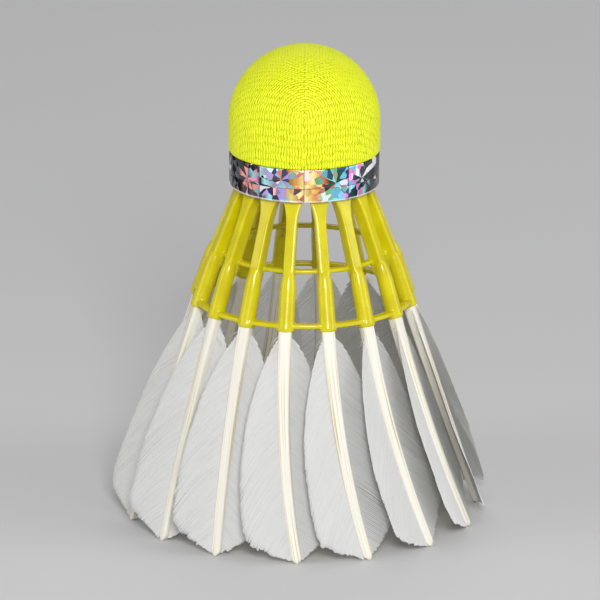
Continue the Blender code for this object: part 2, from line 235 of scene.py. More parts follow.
def tube_faces(rows, columns, closed_rows=False):
    """Quads of a tube of rows x columns points, closed across the columns. End caps are left open."""
    last = rows if closed_rows else rows - 1
    row = np.repeat(np.arange(last), columns)
    column = np.tile(np.arange(columns), last)
    after = (column + 1) % columns
    below = (row + 1) % rows
    return np.stack(
        [row * columns + column, row * columns + after, below * columns + after, below * columns + column], 1
    )


def end_caps(rows, columns):
    """Quads that close both ends of a tube with an even number of columns."""
    faces = []
    for row in (0, rows - 1):
        ring = np.arange(columns) + row * columns
        for step in range(columns // 2 - 1):
            faces.append([ring[step], ring[step + 1], ring[columns - 2 - step], ring[columns - 1 - step]])
    return np.array(faces)


def turned_points(profile, steps):
    """A closed profile of (radius, height) turned about Z: profile points x steps."""
    profile = np.asarray(profile, float)
    turn = np.linspace(0, 2 * pi, steps, endpoint=False)
    radius = profile[:, 0][:, None]
    height = np.repeat(profile[:, 1][:, None], steps, 1)
    return np.stack([radius * np.sin(turn), -radius * np.cos(turn), height], -1)


def rounded_box(half_width, half_depth, rounding, corner_steps=4):
    """Outline of a rounded rectangle about the origin, anticlockwise."""
    outline = []
    for quarter in range(4):
        for step in range(corner_steps + 1):
            turn = pi / 2 * (quarter + step / corner_steps)
            sign_x = 1 if quarter in (0, 3) else -1
            sign_y = 1 if quarter in (0, 1) else -1
            outline.append(
                (
                    sign_x * (half_width - rounding) + rounding * cos(turn),
                    sign_y * (half_depth - rounding) + rounding * sin(turn),
                )
            )
    return np.array(outline)


def spun(points, angle):
    """Turns what is built at the front to the given angle."""
    turn = np.array([[cos(angle), -sin(angle), 0], [sin(angle), cos(angle), 0], [0, 0, 1]])
    return points @ turn.T


# Materials


def material(name, colour, roughness, metallic=0.0):
    made = bpy.data.materials.new(name)
    made.use_nodes = True
    shader = made.node_tree.nodes["Principled BSDF"]
    shader.inputs["Base Color"].default_value = (*colour, 1.0)
    shader.inputs["Roughness"].default_value = roughness
    shader.inputs["Metallic"].default_value = metallic
    return made, made.node_tree, shader


def node(tree, kind, **settings):
    made = tree.nodes.new(kind)
    for key, value in settings.items():
        if key in made.inputs:
            made.inputs[key].default_value = value
        else:
            setattr(made, key, value)
    return made


def ramp(tree, factor, stops):
    made = tree.nodes.new("ShaderNodeValToRGB")
    elements = made.color_ramp.elements
    while len(elements) < len(stops):
        elements.new(0.5)
    for element, (place, colour) in zip(elements, stops):
        element.position = place
        element.color = (*colour, 1.0)
    tree.links.new(factor, made.inputs["Fac"])
    return made.outputs["Color"]


def math(tree, operation, first, second=0.0):
    made = node(tree, "ShaderNodeMath", operation=operation)
    for socket, value in zip(made.inputs, (first, second)):
        if isinstance(value, (int, float)):
            socket.default_value = value
        else:
            tree.links.new(value, socket)
    return made.outputs[0]


def coordinates(tree, kind, scale=(1, 1, 1)):
    source = tree.nodes.new("ShaderNodeTexCoord")
    mapping = tree.nodes.new("ShaderNodeMapping")
    mapping.inputs["Scale"].default_value = scale
    tree.links.new(source.outputs[kind], mapping.inputs["Vector"])
    return mapping.outputs["Vector"]


def noise(tree, vector, scale, detail=2.0, rough=0.5):
    made = node(tree, "ShaderNodeTexNoise", Scale=scale, Detail=detail, Roughness=rough)
    tree.links.new(vector, made.inputs["Vector"])
    return made


def bump(tree, shader, height, distance, strength=1.0):
    made = node(tree, "ShaderNodeBump", Distance=distance, Strength=strength)
    tree.links.new(height, made.inputs["Height"])
    tree.links.new(made.outputs["Normal"], shader.inputs["Normal"])


def parts_of(tree, colour):
    """The three numbers of a colour, as outputs."""
    made = tree.nodes.new("ShaderNodeSeparateColor")
    tree.links.new(colour, made.inputs[0])
    return made.outputs


def layered(tree, kind, factor, under, over):
    """Two colours mixed. factor and over are each an output or a fixed value."""
    made = node(tree, "ShaderNodeMix", data_type="RGBA", blend_type=kind)
    for socket, value in (("Factor", factor), ("A", under), ("B", over)):
        if isinstance(value, (float, tuple)):
            made.inputs[socket].default_value = value
        else:
            tree.links.new(value, made.inputs[socket])
    return made.outputs["Result"]


def cover_material():
    """Fluorescent woven cloth: offset rows of small raised dashes, laid out in millimetres by the UV map.
    The gaps between dashes are painted darker as shade, and emission gives the cloth a painted glow.
    """
    made, tree, shader = material("cover_fabric", (0.62, 0.76, 0.01), 0.55)
    place = coordinates(tree, "UV")
    space = coordinates(tree, "Object", IN_MILLIMETRES)
    drift = noise(tree, space, 0.6, 4.0, 0.6)
    shifted = tree.nodes.new("ShaderNodeVectorMath")
    shifted.operation = "MULTIPLY_ADD"
    tree.links.new(drift.outputs["Color"], shifted.inputs[0])
    shifted.inputs[1].default_value = GRAIN_DRIFT
    tree.links.new(place, shifted.inputs[2])
    weave = node(tree, "ShaderNodeTexBrick", offset=0.5, offset_frequency=2)
    for key, value in (
        ("Scale", 1.0),
        ("Mortar Size", DASH_GAP),
        ("Mortar Smooth", 1.0),
        ("Brick Width", DASH_LENGTH),
        ("Row Height", DASH_PITCH),
    ):
        weave.inputs[key].default_value = value
    tree.links.new(shifted.outputs[0], weave.inputs["Vector"])
    grain = noise(tree, space, 5.0, 2.0)
    crest = math(tree, "SUBTRACT", 1.0, weave.outputs["Fac"])
    height = math(tree, "MULTIPLY_ADD", grain.outputs["Fac"], 0.35)
    tree.links.new(crest, height.node.inputs[2])
    blotch = noise(tree, space, 0.35, 3.0)
    # Painted shade: the gaps between the dashes are coloured darker and the dashes lighter; the blotches are
    # the cloth's uneven tone.
    tone = math(tree, "MULTIPLY_ADD", crest, 0.65)
    tree.links.new(math(tree, "MULTIPLY", blotch.outputs["Fac"], 0.35), tone.node.inputs[2])
    colour = ramp(
        tree,
        tone,
        [(0.0, (0.46, 0.56, 0.0)), (0.45, (0.70, 0.80, 0.004)), (0.9, (0.90, 0.95, 0.03))],
    )
    tree.links.new(colour, shader.inputs["Base Color"])
    shader.inputs["Specular IOR Level"].default_value = 0.25
    # Painted glow: the cover emits its own yellow-green as if lit, though it is no lamp.
    shader.inputs["Emission Color"].default_value = (0.70, 0.80, 0.0, 1.0)
    shader.inputs["Emission Strength"].default_value = 0.175
    bump(tree, shader, height, DASH_RISE * MM)
    return made


def foil_material():
    """Holographic tape: mirror tiles, each split into coloured shards that fan out from a hub in it. The
    shards' brightness, white glints and front flare are painted reflection, and the tape glows by emission.
    """
    made, tree, shader = material("holographic_foil", (0.7, 0.72, 0.8), 0.17, 0.75)
    place = coordinates(tree, "UV")
    split = tree.nodes.new("ShaderNodeSeparateXYZ")
    tree.links.new(place, split.inputs[0])
    round_band = split.outputs["X"]
    height = split.outputs["Y"]
    girth = 2 * pi * BAND_RADIUS
    tile = girth / FOIL_TILES
    seam_height = BAND_BOTTOM + FOIL_SEAM * BAND_HEIGHT

    column = math(tree, "DIVIDE", round_band, tile)
    draw = node(tree, "ShaderNodeTexWhiteNoise", noise_dimensions="1D")
    tree.links.new(math(tree, "FLOOR", column), draw.inputs["W"])
    hub = parts_of(tree, draw.outputs["Color"])
    x = math(tree, "MULTIPLY", math(tree, "SUBTRACT", math(tree, "FRACT", column), hub[0]), tile)
    y = math(tree, "SUBTRACT", height, BAND_BOTTOM + 0.5 * BAND_HEIGHT)
    y = math(tree, "SUBTRACT", y, math(tree, "MULTIPLY", hub[1], FOIL_HUB_RISE))

    turn = math(tree, "MULTIPLY", math(tree, "ARCTAN2", y, x), FOIL_SECTORS / (2 * pi))
    warp = noise(tree, place, 0.5, 1.0)
    sector = math(tree, "FLOOR", math(tree, "ADD", turn, warp.outputs["Fac"]))
    cracks = node(tree, "ShaderNodeTexVoronoi", voronoi_dimensions="2D", Scale=0.75, Randomness=1.0)
    tree.links.new(place, cracks.inputs["Vector"])
    cell = math(tree, "FLOOR", math(tree, "MULTIPLY", parts_of(tree, cracks.outputs["Color"])[0], 4.0))
    below = math(tree, "LESS_THAN", height, seam_height)
    shard = tree.nodes.new("ShaderNodeCombineXYZ")
    tree.links.new(math(tree, "FLOOR", column), shard.inputs[0])
    tree.links.new(sector, shard.inputs[1])
    tree.links.new(math(tree, "ADD", cell, math(tree, "MULTIPLY", below, 7.0)), shard.inputs[2])
    chance = node(tree, "ShaderNodeTexWhiteNoise", noise_dimensions="3D")
    tree.links.new(shard.outputs[0], chance.inputs["Vector"])
    lot = parts_of(tree, chance.outputs["Color"])

    jitter = math(tree, "MULTIPLY", math(tree, "SUBTRACT", lot[0], 0.5), FOIL_JITTER)
    # Painted reflection: the rainbow is laid out by place round the band, dark at the sides and bright at
    # the front and back.
    around = math(tree, "ADD", math(tree, "DIVIDE", round_band, girth / 2), jitter)
    around = math(tree, "FRACT", math(tree, "ADD", around, 0.5))
    rainbow = ramp(tree, around, FOIL_COLOURS)
    # Painted reflection: by chance each shard is made as bright or dark as its mirror looks.
    light = ramp(tree, lot[1], FOIL_SHARD_REFLECTIONS)
    # Painted highlight: shards towards the band's front and back are lightened.
    off_centre = math(tree, "ABSOLUTE", math(tree, "SUBTRACT", around, 0.5))
    flare = ramp(tree, off_centre, FOIL_FRONT_HIGHLIGHT)
    lit = layered(tree, "LIGHTEN", 1.0, light, flare)
    shade = layered(tree, "MULTIPLY", 1.0, rainbow, lit)
    glints = math(tree, "MULTIPLY", math(tree, "GREATER_THAN", lot[2], FOIL_GLINTS_ABOVE), 0.8)
    glint = layered(tree, "MIX", glints, shade, (0.95, 0.96, 1.0, 1.0))
    lowest = math(tree, "LESS_THAN", height, BAND_BOTTOM + FOIL_RIM)
    rim = layered(tree, "MIX", math(tree, "MULTIPLY", lowest, 0.55), glint, (0.9, 0.92, 0.95, 1.0))

    edge = math(tree, "ABSOLUTE", math(tree, "SUBTRACT", math(tree, "FRACT", column), 0.5))
    upright = math(tree, "GREATER_THAN", edge, 0.5 - 0.06 / tile)
    off_seam = math(tree, "ABSOLUTE", math(tree, "SUBTRACT", height, seam_height))
    level = math(tree, "LESS_THAN", off_seam, 0.04)
    seams = math(tree, "MULTIPLY", math(tree, "MAXIMUM", upright, level), 0.85)
    colour = layered(tree, "MIX", seams, rim, (0.03, 0.03, 0.04, 1.0))
    tree.links.new(colour, shader.inputs["Base Color"])
    # Painted glow: the foil emits its own colours, though it is no lamp.
    tree.links.new(colour, shader.inputs["Emission Color"])
    shader.inputs["Emission Strength"].default_value = 0.3
    tilt_x = math(tree, "MULTIPLY", x, math(tree, "SUBTRACT", lot[1], 0.5))
    tilt_y = math(tree, "MULTIPLY", y, math(tree, "SUBTRACT", lot[2], 0.5))
    bump(tree, shader, math(tree, "ADD", tilt_x, tilt_y), 0.45 * MM)
    return made


def nylon_material():
    """Moulded yellow nylon, a little translucent, with faint clouding and an uneven shine."""
    made, tree, shader = material("yellow_nylon", (0.82, 0.73, 0.006), 0.24)
    place = coordinates(tree, "Object", IN_MILLIMETRES)
    cloud = noise(tree, place, 0.25, 3.0)
    colour = ramp(tree, cloud.outputs["Fac"], [(0.3, (0.62, 0.53, 0.002)), (0.7, (0.74, 0.66, 0.005))])
    tree.links.new(colour, shader.inputs["Base Color"])
    skin = noise(tree, place, 1.1, 2.0)
    shine = node(tree, "ShaderNodeMapRange")
    shine.inputs["To Min"].default_value = 0.16
    shine.inputs["To Max"].default_value = 0.30
    tree.links.new(skin.outputs["Fac"], shine.inputs["Value"])
    tree.links.new(shine.outputs["Result"], shader.inputs["Roughness"])
    shader.inputs["Subsurface Weight"].default_value = 0.25
    shader.inputs["Subsurface Radius"].default_value = (1.0, 0.7, 0.05)
    shader.inputs["Subsurface Scale"].default_value = 0.0008
    bump(tree, shader, skin.outputs["Fac"], 0.00005, 0.4)
    return made


def keratin_material():
    """Cream quill with thin brownish lines along it. The UV map holds millimetres round and along."""
    made, tree, shader = material("feather_shaft", (0.86, 0.82, 0.70), 0.38)
    streaks = noise(tree, coordinates(tree, "UV", (4.5, 0.035, 1.0)), 1.0, 2.0, 0.5)
    colour = ramp(
        tree,
        streaks.outputs["Fac"],
        [
            (0.33, (0.60, 0.46, 0.22)),
            (0.38, (0.82, 0.75, 0.56)),
            (0.44, (0.88, 0.85, 0.74)),
            (0.8, (0.91, 0.89, 0.83)),
        ],
    )
    tree.links.new(colour, shader.inputs["Base Color"])
    shader.inputs["Subsurface Weight"].default_value = 0.15
    shader.inputs["Subsurface Radius"].default_value = (1.0, 0.8, 0.5)
    shader.inputs["Subsurface Scale"].default_value = 0.0005
    bump(tree, shader, streaks.outputs["Fac"], 0.00012, 0.6)
    return made


def barb_material():
    """Grey-white barbs. The UV map holds the way out along a barb and its place down the shaft."""
    made, tree, shader = material("feather_vane", (0.66, 0.66, 0.65), 0.6)
    place = coordinates(tree, "UV", (0.25, 2.6, 1.0))
    tone = noise(tree, place, 1.0, 4.0)
    colour = ramp(
        tree,
        tone.outputs["Fac"],
        [(0.2, (0.58, 0.575, 0.565)), (0.45, (0.65, 0.65, 0.64)), (0.7, (0.69, 0.69, 0.68))],
    )
    tree.links.new(colour, shader.inputs["Base Color"])
    shader.inputs["Sheen Weight"].default_value = 0.1
    fibres = noise(tree, coordinates(tree, "UV", (9.0, 3.0, 1.0)), 1.0, 2.0)
    bump(tree, shader, fibres.outputs["Fac"], 0.00003, 0.5)
    return made


def cork_material():
    """Cork with a fine cell pattern, for the core inside the cover."""
    made, tree, shader = material("cork", (0.52, 0.33, 0.17), 0.85)
    place = coordinates(tree, "Object", IN_MILLIMETRES)
    cells = node(tree, "ShaderNodeTexVoronoi", Scale=1.4)
    tree.links.new(place, cells.inputs["Vector"])
    colour = ramp(
        tree,
        cells.outputs["Distance"],
        [(0.0, (0.26, 0.14, 0.06)), (0.3, (0.50, 0.32, 0.16)), (0.8, (0.62, 0.42, 0.24))],
    )
    tree.links.new(colour, shader.inputs["Base Color"])
    bump(tree, shader, cells.outputs["Distance"], 0.0003, 0.6)
    return made


# Head


def dome_arc(radius, steps):
    """(radius, height) from the dome's top down to its widest."""
    turn = np.linspace(pi / 2, 0.0, steps)
    return [(radius * cos(t), DOME_CENTRE + radius * sin(t)) for t in turn]


def build_cover(finish):
    """A thin dome and skirt with a rolled lower edge.

    The UV map runs along and across the grain, which arches over the dome from side to side.
    """
    outer = dome_arc(HEAD_RADIUS, 60)
    outer[0] = (POLE_RADIUS, outer[0][1])
    low = BAND_TOP + COVER_GAP
    outer += [(HEAD_RADIUS, z) for z in np.linspace(DOME_CENTRE, low + COVER_EDGE, 14)[1:]]
    centre = (HEAD_RADIUS - COVER_EDGE, low + COVER_EDGE)
    for turn in np.linspace(0, pi / 2, 9)[1:]:
        outer.append((centre[0] + COVER_EDGE * cos(turn), centre[1] - COVER_EDGE * sin(turn)))
    lining = HEAD_RADIUS - COVER_THICKNESS
    tuck = SKIRT_RADIUS - COVER_THICKNESS
    inner = [(tuck, low), (tuck, low + COVER_THICKNESS), (lining, low + 2 * COVER_THICKNESS + 0.3)]
    inner += dome_arc(lining, 24)[::-1][:-1] + [(POLE_RADIUS, TOTAL_HEIGHT - COVER_THICKNESS)]
    profile = np.array(outer + inner)
    steps = 240
    points = turned_points(profile, steps)
    x, y, z = np.moveaxis(points, -1, 0)
    rise = np.maximum(z - GRAIN_CENTRE, 0.0)
    from_front = np.arctan2(np.hypot(x, rise), -y)
    from_top = np.arctan2(np.abs(x), rise)
    along = HEAD_RADIUS * np.sin(from_front) * from_top + np.maximum(GRAIN_CENTRE - z, 0.0)
    uv = np.stack([along, HEAD_RADIUS * from_front], -1)
    return mesh_object("cover_skin", points, tube_faces(len(profile), steps, True), finish, uv=uv)


def build_band(finish):
    """A tape with rounded edges. Its UV map holds the way round and the height, in millimetres.

    The map is cut at the back, so the tape is built with a double column of points there and welded.
    """
    half = BAND_THICKNESS / 2
    outline = rounded_box(half, BAND_HEIGHT / 2, 0.12, 3)
    extra = []
    for first, second in zip(outline, np.roll(outline, -1, 0)):
        extra.append(first)
        if abs(second[1] - first[1]) > 1.0:
            extra += [first + (second - first) * share for share in np.linspace(0, 1, 12)[1:-1]]
    outline = np.array(extra)
    profile = outline + [BAND_RADIUS - half, BAND_BOTTOM + BAND_HEIGHT / 2]
    steps = 256
    seam = np.linspace(0, 2 * pi, steps + 1) + pi
    radius = profile[:, 0][:, None]
    height = np.repeat(profile[:, 1][:, None], steps + 1, 1)
    points = np.stack([radius * np.sin(seam), -radius * np.cos(seam), height], -1)
    uv = np.stack([np.repeat(seam[None] * BAND_RADIUS, len(profile), 0), height], -1)
    columns = steps + 1
    faces = [face for face in tube_faces(len(profile), columns, True).tolist() if face[0] % columns != steps]
    obj = mesh_object("foil_wrap", points, faces, finish, uv=uv)
    weld(obj)
    return obj


def weld(obj):
    """Joins points that lie on each other. The UV map keeps its cut."""
    modifier = obj.modifiers.new("Weld", "WELD")
    modifier.merge_threshold = 0.005 * MM
    apply_modifiers(obj)


def apply_modifiers(obj):
    bpy.context.view_layer.update()
    graph = bpy.context.evaluated_depsgraph_get()
    mesh = bpy.data.meshes.new_from_object(obj.evaluated_get(graph))
    obj.modifiers.clear()
    obj.data = mesh


# Frame


def blade_outer(height):
    """Radius of a blade's outer face. Below BLADE_BEND it runs inside the socket."""
    above = BLADE_TOP_RADIUS + BLADE_SLOPE * (HUB_BOTTOM - height)
    inside = SOCKET_END_RADIUS - SHAFT_SLOPE * (height - SOCKET_END_HEIGHT) - SOCKET_BACKING
    return above if height >= BLADE_BEND else inside


def blade_inner(height):
    """Radius of a blade's inner face. Below BLADE_BEND it runs straight into the socket."""
    if height >= BLADE_BEND:
        return blade_outer(height) - BLADE_DEPTH
    share = (BLADE_BEND - height) / (BLADE_BEND - BLADE_FOOT)
    start = blade_outer(BLADE_BEND) - BLADE_DEPTH
    return start + share * (blade_outer(BLADE_FOOT) - BLADE_FOOT_DEPTH - start)


def blade_width(height):
    """Width of a blade at its outer face, with the pointed-arch flare under the hub."""
    share = max(0.0, 1.0 - max(0.0, HUB_BOTTOM - height) / FLARE_HEIGHT)
    return BLADE_WIDTH + BLADE_FLARE * share**3


def blade_shape():
    """The front blade: level sections from inside the hub down into the socket."""
    heights = np.linspace(HUB_BOTTOM + 0.5, BLADE_FOOT, 48)
    rows = []
    for height in heights:
        depth = blade_outer(height) - blade_inner(height)
        outline = rounded_box(blade_width(height) / 2, depth / 2, EDGE_ROUNDING)
        middle = blade_outer(height) - depth / 2
        taper = (middle + outline[:, 1]) / blade_outer(height)
        rows.append(
            np.stack([outline[:, 0] * taper, -(middle + outline[:, 1]), np.full(len(outline), height)], 1)
        )
    return np.array(rows)


def socket_shape():
    """The front socket: a round nose, a slight taper and a rolled lip, leaning with its feather."""
    profile = [(POLE_RADIUS / 2, SOCKET_LENGTH)]
    for turn in np.linspace(pi / 2, 0, 15)[1:]:
        across = SOCKET_TOP_RADIUS * cos(turn) ** (2 / SOCKET_FULLNESS)
        along = SOCKET_NOSE * (1 - sin(turn) ** (2 / SOCKET_FULLNESS))
        profile.append((across, SOCKET_LENGTH - along))
    for more, height in ((0.0, 1.2), (0.06, 0.5), (0.0, 0.12), (-0.12, 0.0)):
        profile.append((SOCKET_RADIUS + more, height))
    profile.append((POLE_RADIUS / 2, 0.0))
    points = turned_points(profile, 32)
    tilt = np.array(Matrix.Rotation(-SOCKET_LEAN, 3, "X"))
    return points @ tilt.T + [0, -SOCKET_END_RADIUS, SOCKET_END_HEIGHT]


def ring_shape(radii, height):
    outline = rounded_box((radii[1] - radii[0]) / 2, RING_THICKNESS / 2, RING_ROUNDING)
    profile = outline + [(radii[0] + radii[1]) / 2, height]
    return turned_points(profile, RING_STEPS)


def build_frame(finish):
    """Hub, peg, blades, sockets and rings, merged by a fine voxel remesh that leaves moulded fillets."""
    shapes = []
    for index in range(FEATHERS):
        angle = FIRST_ANGLE + PITCH * index
        shapes += [(spun(blade_shape(), angle), True), (spun(socket_shape(), angle), True)]
    shapes.append((ring_shape(MID_RING_RADII, MID_RING_HEIGHT), False))
    shapes.append((ring_shape(LOW_RING_RADII, LOW_RING_HEIGHT), False))
    hub_top = HUB_BOTTOM + HUB_THICKNESS
    hub = [
        (PEG_RADIUS - PEG_CHAMFER, hub_top + PEG_LENGTH),
        (PEG_RADIUS, hub_top + PEG_LENGTH - PEG_CHAMFER),
        (PEG_RADIUS, hub_top),
        (HUB_RADIUS, hub_top),
        (HUB_RADIUS, HUB_BOTTOM),
        (PEG_BORE_RADIUS, HUB_BOTTOM),
        (PEG_BORE_RADIUS, hub_top + PEG_LENGTH),
    ]
    shapes.append((turned_points(hub, 128), False))

    points = []
    faces = []
    count = 0
    for shape, capped in shapes:
        rows, columns = shape.shape[:2]
        faces.append(tube_faces(rows, columns, not capped) + count)
        if capped:
            faces.append(end_caps(rows, columns) + count)
        points.append(shape.reshape(-1, 3))
        count += rows * columns
    obj = mesh_object("moulded_frame", np.concatenate(points), np.concatenate(faces), finish)
    turn_out(obj)
    remesh = obj.modifiers.new("Remesh", "REMESH")
    remesh.mode = "VOXEL"
    remesh.voxel_size = VOXEL * MM
    remesh.use_smooth_shade = True
    smooth = obj.modifiers.new("Smooth", "SMOOTH")
    smooth.factor = 0.5
    smooth.iterations = 10
    apply_modifiers(obj)
    return obj


def turn_out(obj):
    """Makes every closed shell of the mesh face outward."""
    shape = bmesh.new()
    shape.from_mesh(obj.data)
    bmesh.ops.recalc_face_normals(shape, faces=shape.faces)
    shape.to_mesh(obj.data)
    shape.free()


# Feathers


def shaft_point(index, drop):
    """Points of a shaft's axis at drops below its socket's mouth. It leans more and more to one side."""
    drop = np.asarray(drop, float)
    share = np.maximum(0.0, drop) / SOCKET_END_HEIGHT
    angle = FIRST_ANGLE + PITCH * index + radians(LEANS[index]) * share**LEAN_POWER
    radius = SOCKET_END_RADIUS + SHAFT_SLOPE * drop
    return np.stack([radius * np.sin(angle), -radius * np.cos(angle), SOCKET_END_HEIGHT - drop], -1)


def unit(vectors):
    return vectors / np.linalg.norm(vectors, axis=-1, keepdims=True)


def shaft_frame(index, drop):
    """Point, left and outward directions across the shaft, seen from outside."""
    step = 0.1
    point = shaft_point(index, drop)
    along = unit(shaft_point(index, np.asarray(drop) + step) - shaft_point(index, np.asarray(drop) - step))
    radial = unit(point * [1, 1, 0])
    outward = unit(radial - along * np.sum(radial * along, -1, keepdims=True))
    return point, unit(np.cross(along, outward)), outward


def shaft_half_width(drop):
    share = np.clip(np.asarray(drop, float) / SOCKET_END_HEIGHT, 0.0, 1.0)
    return SHAFT_WIDTHS[0] + (SHAFT_WIDTHS[1] - SHAFT_WIDTHS[0]) * share


def quill_section(columns):
    """Rounded-square outline of a quill, as shares of its half-width and half-depth."""
    turn = np.linspace(0, 2 * pi, columns, endpoint=False)
    power = 2 / SHAFT_SQUARENESS
    across = np.sign(np.cos(turn)) * np.abs(np.cos(turn)) ** power
    out = np.sign(np.sin(turn)) * np.abs(np.sin(turn)) ** power
    return across, out


def quill_surface(index, drops, across, out, ridges):
    """Points of a quill at drops, rows x columns, with its shallow grooves."""
    point, left, outward = shaft_frame(index, drops)
    share = np.clip(drops / SOCKET_END_HEIGHT, 0, 1)
    wide = SHAFT_WIDTHS[0] + (SHAFT_WIDTHS[1] - SHAFT_WIDTHS[0]) * share
    deep = SHAFT_DEPTHS[0] + (SHAFT_DEPTHS[1] - SHAFT_DEPTHS[0]) * share
    grooves = np.zeros_like(drops)
    for place, sway, start in ridges:
        middle = place + GROOVE_SWAY * np.sin(share * sway + start)
        nearness = np.exp(-(((across[None] - middle) / GROOVE_WIDTH) ** 2))
        grooves += GROOVE_DEPTH * nearness * (out[None] > 0)
    return point + left * (wide * across)[..., None] + outward * (deep * out - grooves)[..., None]


def build_shaft(index, finish, rng):
    """A tapered quill, cut at its tip to a shallow point that touches z = 0."""
    rows = 64
    columns = 48
    across, out = quill_section(columns)
    ridges = [(rng.uniform(-0.75, 0.75), rng.uniform(3, 8), rng.uniform(0, 6)) for _ in range(GROOVES)]
    trial = np.linspace(-SHAFT_ENTRY, SOCKET_END_HEIGHT + 1.5, 160)
    heights = quill_surface(index, np.repeat(trial[:, None], columns, 1), across, out, ridges)[..., 2]
    cut = TIP_RISE * np.maximum(0.0, np.abs(across - rng.uniform(-0.2, 0.2)) - 0.1)
    ends = np.array([np.interp(-cut[column], -heights[:, column], trial) for column in range(columns)])
    drops = -SHAFT_ENTRY + (ends + SHAFT_ENTRY)[None] * np.linspace(0, 1, rows)[:, None]
    points = quill_surface(index, drops, across, out, ridges)
    girth = np.concatenate([[0], np.cumsum(np.hypot(np.diff(across), np.diff(out)))]) * 1.1
    uv = np.stack([np.repeat(girth[None] + index * 31.0, rows, 0), drops], -1)
    faces = np.concatenate([tube_faces(rows, columns), end_caps(rows, columns)])
    obj = mesh_object(f"quill_{index + 1:02d}", points, faces, finish, uv=uv)
    turn_out(obj)
    return obj


def vane_width(side, share):
    """Width of a web: it opens down the shaft to its full width, and a slanting cut ends it at the tip."""
    share = np.clip(share, 0.0, 1.0)
    opened = np.minimum(1.0, share / VANE_WIDEST)
    full = np.maximum(VANE_WIDTH * (1.0 - (1.0 - opened) ** 2) ** VANE_OPENING[side], 0.05)
    cut = np.maximum(VANE_LENGTH * (1.0 - share) / CUT_SLOPES[side], 0.05)
    return (full**-CORNER_SHARPNESS + cut**-CORNER_SHARPNESS) ** (-1 / CORNER_SHARPNESS)


def vane_surface(index, side, drop, across):
    """Points of a web at drops down the shaft and distances out from its axis."""
    point, left, outward = shaft_frame(index, drop)
    tilt = radians(VANE_TILTS[side][index])
    rise = sin(tilt) * side * across - VANE_CAMBER * (across / VANE_WIDTH) ** 2
    return point + left * (side * across * cos(tilt))[..., None] + outward * rise[..., None]


def barb_angle(across):
    """Angle between a barb and the way down the shaft, which falls as the barb runs out."""
    return BARB_ROOT_ANGLE + (BARB_END_ANGLE - BARB_ROOT_ANGLE) * np.clip(across / VANE_WIDTH, 0, 1.2)


def ribbons(index, side, drops, across, half_widths, ridge, shingle, lift):
    """Closed ribbons of four-sided section along paths on the web's surface: paths x steps in each array."""
    small = 0.02
    here = vane_surface(index, side, drops, across)
    down = vane_surface(index, side, drops + small, across) - here
    sideways = vane_surface(index, side, drops, across + small) - here
    normal = unit(np.cross(sideways, down)) * -side
    path = unit(np.gradient(here, axis=1))
    lateral = unit(np.cross(normal, path)) * side
    middle = here + normal * lift[..., None]
    wide = half_widths[..., None]
    corners = [
        middle + lateral * wide + normal * shingle,
        middle + normal * ridge,
        middle - lateral * wide - normal * shingle,
        middle - normal * 0.05,
    ]
    points = np.stack(corners, 2)
    count, steps = drops.shape
    last = 4 * steps - 4 + np.arange(4)
    faces = np.concatenate([tube_faces(steps, 4), [[3, 2, 1, 0]], [last]])
    faces = (faces[None] + (np.arange(count) * steps * 4)[:, None, None]).reshape(-1, 4)
    out = np.repeat(across[:, :, None], 4, 2)
    uv = np.stack([out, np.broadcast_to(drops[:, :1, None], out.shape)], -1)
    return points.reshape(-1, 3), faces, uv.reshape(-1, 2)


def build_web(index, side, finish, rng):
    """One web of a feather: a row of barbs that overlap like shingles and end along the cut outline."""
    barbs = BARBS[side]
    roots = VANE_START + VANE_LENGTH * (np.arange(barbs) + rng.uniform(-0.1, 0.1, barbs)) / barbs * 0.99
    reach = np.linspace(0, VANE_WIDTH, PATH_SAMPLES)
    turn = np.zeros(barbs)
    for split in rng.integers(3, barbs - 6, 2):
        span = int(rng.integers(6, 18))
        fade = np.linspace(1, 0, span)[: barbs - split]
        turn[split : split + span] += radians(rng.uniform(0.6, 2.4)) * fade
    angle = barb_angle(reach)[None] + turn[:, None] + radians(0.12) * rng.standard_normal(barbs)[:, None]
    slope = 1 / np.tan(angle)
    run = np.concatenate(
        [np.zeros((barbs, 1)), np.cumsum((slope[:, 1:] + slope[:, :-1]) / 2, 1) * (reach[1] - reach[0])], 1
    )
    root_side = shaft_half_width(roots) * 0.82
    drop = roots[:, None] + run
    limit = vane_width(side, (drop - VANE_START) / VANE_LENGTH)
    inside = reach[None] <= limit
    inside[:, 0] = True
    last = PATH_SAMPLES - 1 - np.argmax(inside[:, ::-1], 1)
    ends = reach[last]
    ragged = np.repeat(rng.uniform(-0.12, 0.12, barbs // 5 + 1), 5)[:barbs]
    ends = np.clip(ends + ragged - rng.uniform(0.0, 0.18, barbs), 0.25, VANE_WIDTH)
    share = np.linspace(0, 1, BARB_STEPS + 1)
    across = ends[:, None] * share[None]
    drops = np.stack([np.interp(across[i], reach, drop[i]) for i in range(barbs)])
    across_out = root_side[:, None] + across
    drops = np.minimum(drops, SOCKET_END_HEIGHT - TIP_CLEARANCE)
    spacing = VANE_LENGTH / barbs * np.sin(barb_angle(across))
    half = spacing * BARB_OVERLAP[side] * np.where(share > 0.95, 0.5, 1.0)[None]
    wave = 0.12 * np.sin(0.5 * roots + rng.uniform(0, 6))[:, None] * (across / VANE_WIDTH) ** 2
    ridge = 0.055 * BARB_RELIEF[side] + 0.01
    shingle = 0.03 * BARB_RELIEF[side] + 0.008
    points, faces, uv = ribbons(index, side, drops, across_out, half, ridge, shingle, wave)
    uv[:, 1] += index * 47.0 + (side + 1) * 400.0
    loose_points, loose_faces, loose_uv = loose_barbs(index, side, rng)
    faces = np.concatenate([faces, loose_faces + len(points)])
    points = np.concatenate([points, loose_points])
    uv = np.concatenate([uv, loose_uv])
    points[:, 2] = np.maximum(points[:, 2], WEB_LOWEST)
    name = f"{'left' if side > 0 else 'right'}_web_{index + 1:02d}"
    obj = mesh_object(name, points, faces, finish, smooth=False, uv=uv)
    turn_out(obj)
    return obj


